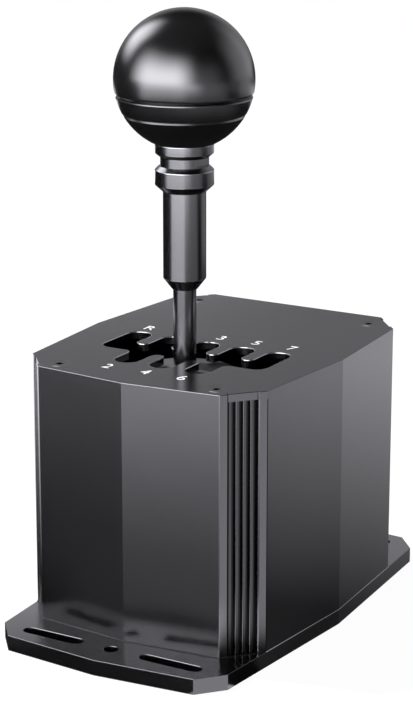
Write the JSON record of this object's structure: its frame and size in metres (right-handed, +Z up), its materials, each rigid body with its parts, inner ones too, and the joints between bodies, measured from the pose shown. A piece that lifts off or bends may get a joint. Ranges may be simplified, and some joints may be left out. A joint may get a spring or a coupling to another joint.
{
  "type": "gear shifter",
  "caption": "H-pattern gear shifter for a racing simulator: a grey aluminium box on a slotted base plate, with a shift gate on top and a gimballed lever that carries a black ball knob.",
  "frame": {"origin": "middle of the base plate's underside, on the table", "axes": "+Z up along the upright lever, +X to the driver's right, -Y to the front with the short gear lanes"},
  "size_m": [0.11, 0.18, 0.2376],
  "materials": {
    "anodised_body": "satin anodised, dark grey",
    "plate_screws": "plated, dark grey",
    "screws": "zinc plated",
    "plain_aluminium": "machined",
    "bronze": "sintered bronze",
    "steel": "ground",
    "spring_steel": "drawn wire",
    "black_plastic": "moulded, satin",
    "dark_steel": "ground and polished, dark chromed",
    "shield_plastic": "moulded, matt, grey",
    "circuit_board": "solder mask, satin",
    "brass": "turned",
    "lever_metal": "turned, satin anodised, dark grey",
    "knob_plastic": "turned and polished, black"
  },
  "bodies": {
    "frame": {"base_plate": "anodised_body", "housing": "anodised_body", "top_plate": "anodised_body", "top_screws": "plate_screws", "base_screws": "screws", "front_pillar": "plain_aluminium", "rear_pillar": "plain_aluminium", "pillar_screws": "screws", "front_select_bush": "bronze", "rear_select_bush": "bronze", "detent_block": "black_plastic", "detent_block_screws": "screws", "left_spring_post": "steel", "right_spring_post": "steel", "left_centring_spring": "spring_steel", "right_centring_spring": "spring_steel", "select_sensor_board": "circuit_board", "select_sensor_chip": "black_plastic", "select_sensor_spacers": "steel", "select_sensor_screws": "screws", "controller_board": "circuit_board", "board_components": "black_plastic", "board_standoffs": "brass", "board_screws": "screws", "rear_socket": "steel"},
    "gimbal": {"gimbal_yoke": "plain_aluminium", "front_select_pin": "steel", "rear_select_pin": "steel", "select_magnet": "steel", "left_shift_bush": "bronze", "right_shift_bush": "bronze", "shift_sensor_board": "circuit_board", "shift_sensor_chip": "black_plastic", "shift_sensor_spacers": "steel", "shift_sensor_screws": "screws"},
    "lever": {"lever_hub": "plain_aluminium", "shift_axle": "steel", "axle_clips": "steel", "shift_magnet": "steel", "lever_rod": "dark_steel", "rod_lock_nut": "steel", "detent_tube": "steel", "detent_spring": "spring_steel", "dust_dome": "shield_plastic", "lever_sleeve": "lever_metal", "lock_collar": "lever_metal", "knob_adapter": "lever_metal", "knob_insert": "brass", "knob_base": "knob_plastic", "knob_ring": "knob_plastic", "knob_dome": "knob_plastic"},
    "plunger": {"detent_plunger": "brass"}
  },
  "joints": [
    {"name": "select", "type": "hinge", "parent": "frame", "child": "gimbal", "pos_m": [0, -0.024, 0.04], "axis": [0, 1, 0], "range_deg": [-13.4, 13.4], "stiffness_Nm_per_rad": 7.5, "deforming": ["left_centring_spring", "right_centring_spring"]},
    {"name": "shift", "type": "hinge", "parent": "gimbal", "child": "lever", "pos_m": [0, -0.024, 0.04], "axis": [1, 0, 0], "range_deg": [-13, 13]},
    {"name": "detent_slide", "type": "slide", "parent": "lever", "child": "plunger", "axis": [0, 0, 1], "range_m": [0, 0.0015], "stiffness_N_per_m": 3800, "springref_m": -0.002, "deforming": ["detent_spring"]}
  ]
}
